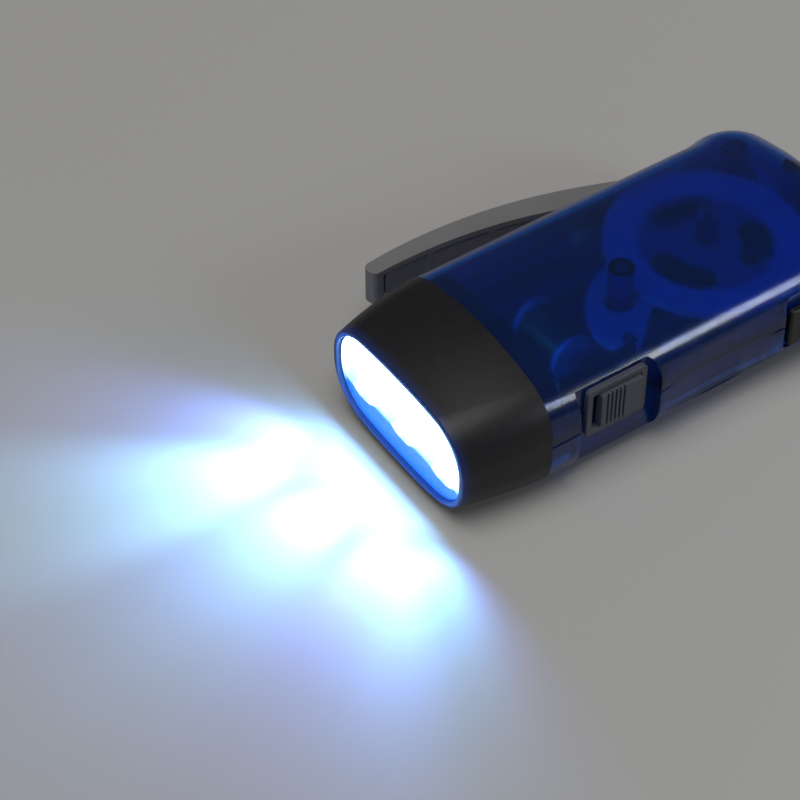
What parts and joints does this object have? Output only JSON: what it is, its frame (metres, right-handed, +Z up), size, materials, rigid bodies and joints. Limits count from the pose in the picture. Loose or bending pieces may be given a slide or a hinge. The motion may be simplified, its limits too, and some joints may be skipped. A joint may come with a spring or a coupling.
{
  "type": "hand crank flashlight",
  "caption": "Palm-size squeeze-lever dynamo torch: translucent housing, side lever geared to a flywheel generator, lamp row behind a lens in a dark bezel.",
  "frame": {"origin": "middle of the flat underside, between the straight sides; z = 0 is the surface the torch lies on", "axes": "+X along the beam, +Y towards the slide switch, +Z up; the lever is on the -Y side, standing open"},
  "size_m": [0.1051, 0.0608, 0.0292],
  "materials": {
    "blue_shell": "translucent deep blue, polished",
    "bezel_grey": "fine-grained dark grey",
    "clear_lens": "clear polished pane",
    "bright_reflector": "vacuum-metallised plastic",
    "lamp_body": "clear epoxy, lit",
    "board_green": "solder-masked circuit board",
    "lever_grey": "fine-grained warm grey",
    "steel": "ground steel pin",
    "gear_white": "natural acetal",
    "flywheel_grey": "filled moulding",
    "magnet": "dark ferrite",
    "core_steel": "stacked plates",
    "copper_wire": "enamelled copper wire",
    "switch_grey": "fine-grained slate grey",
    "switch_metal": "plated can",
    "black_plastic": "moulded black",
    "cell_metal": "plated cell case"
  },
  "bodies": {
    "housing": {"top_shell": "blue_shell", "bottom_shell": "blue_shell", "bezel": "bezel_grey", "lens": "clear_lens", "reflector": "bright_reflector", "leds": "lamp_body", "led_board": "board_green", "lever_pin": "steel", "lever_spring": "steel", "gear_shaft_rear": "steel", "gear_shaft_side": "steel", "flywheel_shaft": "steel", "stator_core": "core_steel", "coil_bobbin": "gear_white", "coil_winding": "copper_wire", "gear_frame": "gear_white", "switch_frame": "switch_grey", "slide_switch": "switch_metal", "circuit_board": "board_green", "battery_cells": "cell_metal", "battery_holder": "black_plastic", "battery_contacts": "switch_metal", "shell_screws": "steel", "frame_screws": "steel"},
    "lever": {"lever": "lever_grey"},
    "clutch_pinion": {"clutch_pinion": "gear_white"},
    "ratchet_gear": {"ratchet_gear": "gear_white"},
    "step_gear": {"step_gear": "gear_white"},
    "flywheel": {"flywheel": "flywheel_grey", "ring_magnet": "magnet"},
    "switch_button": {"switch_button": "switch_grey", "switch_nub": "black_plastic"},
    "lock_slider": {"lock_slider": "switch_grey"}
  },
  "joints": [
    {"name": "lever_squeeze", "type": "hinge", "parent": "housing", "child": "lever", "pos_m": [-0.0405, -0.0135, 0.0141], "axis": [0, 0, 1], "range_deg": [0, 8.5], "stiffness_Nm_per_rad": 0.6, "springref_deg": -20.05, "deforming": ["lever_spring"]},
    {"name": "clutch_pinion_spin", "type": "hinge", "parent": "housing", "child": "clutch_pinion", "pos_m": [-0.03546, 0.00833, 0.0111], "axis": [0, 0, 1], "range_deg": [-40, 0]},
    {"name": "ratchet_gear_spin", "type": "hinge", "parent": "housing", "child": "ratchet_gear", "pos_m": [-0.03546, 0.00833, 0.0076], "axis": [0, 0, 1], "continuous": true},
    {"name": "step_gear_spin", "type": "hinge", "parent": "housing", "child": "step_gear", "pos_m": [-0.02302, 0.00949, 0.009], "axis": [0, 0, 1], "continuous": true},
    {"name": "flywheel_spin", "type": "hinge", "parent": "housing", "child": "flywheel", "pos_m": [-0.0225, 0, 0.015], "axis": [0, 0, 1], "continuous": true},
    {"name": "switch_slide", "type": "slide", "parent": "housing", "child": "switch_button", "axis": [1, 0, 0], "range_m": [0, 0.0013]},
    {"name": "lock_slide", "type": "slide", "parent": "housing", "child": "lock_slider", "axis": [0, 0, 1], "range_m": [0, 0.0025]}
  ],
  "couplings": [
    {"joint": "clutch_pinion_spin", "follows": "lever_squeeze", "ratio": -4.6},
    {"joint": "ratchet_gear_spin", "follows": "lever_squeeze", "ratio": -4.6},
    {"joint": "step_gear_spin", "follows": "lever_squeeze", "ratio": 18.4},
    {"joint": "flywheel_spin", "follows": "lever_squeeze", "ratio": -51.52}
  ]
}
